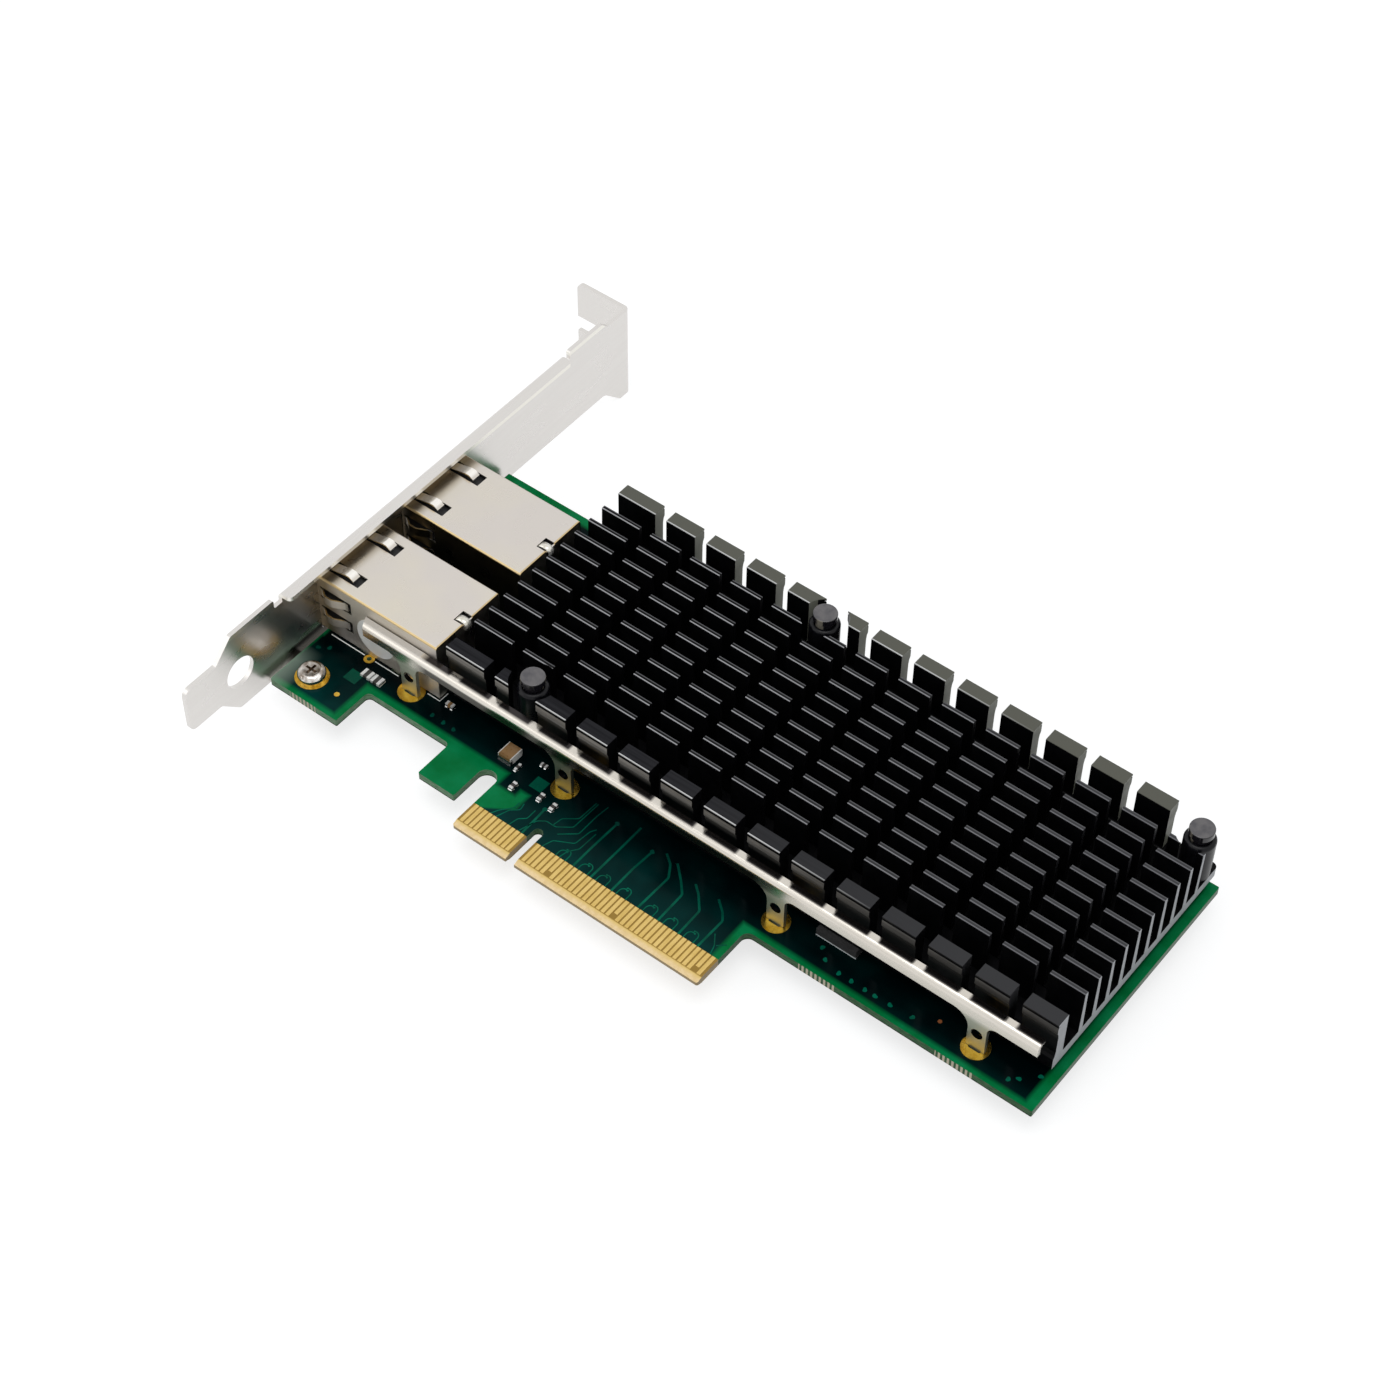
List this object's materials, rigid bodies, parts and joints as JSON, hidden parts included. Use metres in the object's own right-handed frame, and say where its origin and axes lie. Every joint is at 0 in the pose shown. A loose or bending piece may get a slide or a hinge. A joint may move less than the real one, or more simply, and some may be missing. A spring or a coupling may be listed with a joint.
{
  "type": "network interface card",
  "caption": "Expansion card with network jacks behind a slotted metal bracket, an edge connector, a stiffener rail and a pinned finned heat sink.",
  "frame": {"origin": "middle of the key notch at the tips of the edge connector, on the component face", "axes": "+X along the card from the bracket to the far end, +Y from the edge connector to the top edge, +Z out of the component side"},
  "size_m": [0.1676, 0.12, 0.0228],
  "materials": {
    "board_laminate": "green solder mask over glass laminate",
    "gold_plating": "gold plated, smooth",
    "bracket_steel": "nickel-plated sheet steel",
    "nickel_screws": "bright nickel plate",
    "jack_shield": "bright plated sheet",
    "black_insulator": "moulded",
    "gold_wire": "gold plated, smooth",
    "tinned_metal": "tinned",
    "clear_lights": "milky, translucent",
    "white_label": "bare paper-like film",
    "polished_steel": "polished",
    "black_anodised": "black anodised",
    "dark_nylon": "moulded, slight sheen",
    "spring_steel": "drawn wire",
    "black_resin": "moulded",
    "grey_pad": "soft",
    "crystal_can": "lidded can",
    "tan_ceramic": "fired ceramic",
    "dark_ceramic": "fired ceramic"
  },
  "bodies": {
    "root": {"circuit_board": "board_laminate", "edge_contacts_front": "gold_plating", "edge_contacts_back": "gold_plating", "ring_pads": "gold_plating", "bracket": "bracket_steel", "bracket_screws": "nickel_screws", "near_jack_shield": "jack_shield", "near_jack_housing": "black_insulator", "near_jack_contacts": "gold_wire", "near_jack_pins": "tinned_metal", "near_jack_lights": "clear_lights", "far_jack_shield": "jack_shield", "far_jack_housing": "black_insulator", "far_jack_contacts": "gold_wire", "far_jack_pins": "tinned_metal", "far_jack_lights": "clear_lights", "port_label": "white_label", "stiffener_rail": "polished_steel", "heatsink": "black_anodised", "push_pins": "dark_nylon", "pin_sleeves": "dark_nylon", "pin_springs": "spring_steel", "controller_chip": "black_resin", "thermal_pad": "grey_pad", "voltage_regulator": "black_resin", "flash_memory": "black_resin", "clock_crystal": "crystal_can", "ceramic_capacitors": "tan_ceramic", "chip_resistors": "dark_ceramic", "chip_terminals": "tinned_metal"}
  },
  "joints": []
}
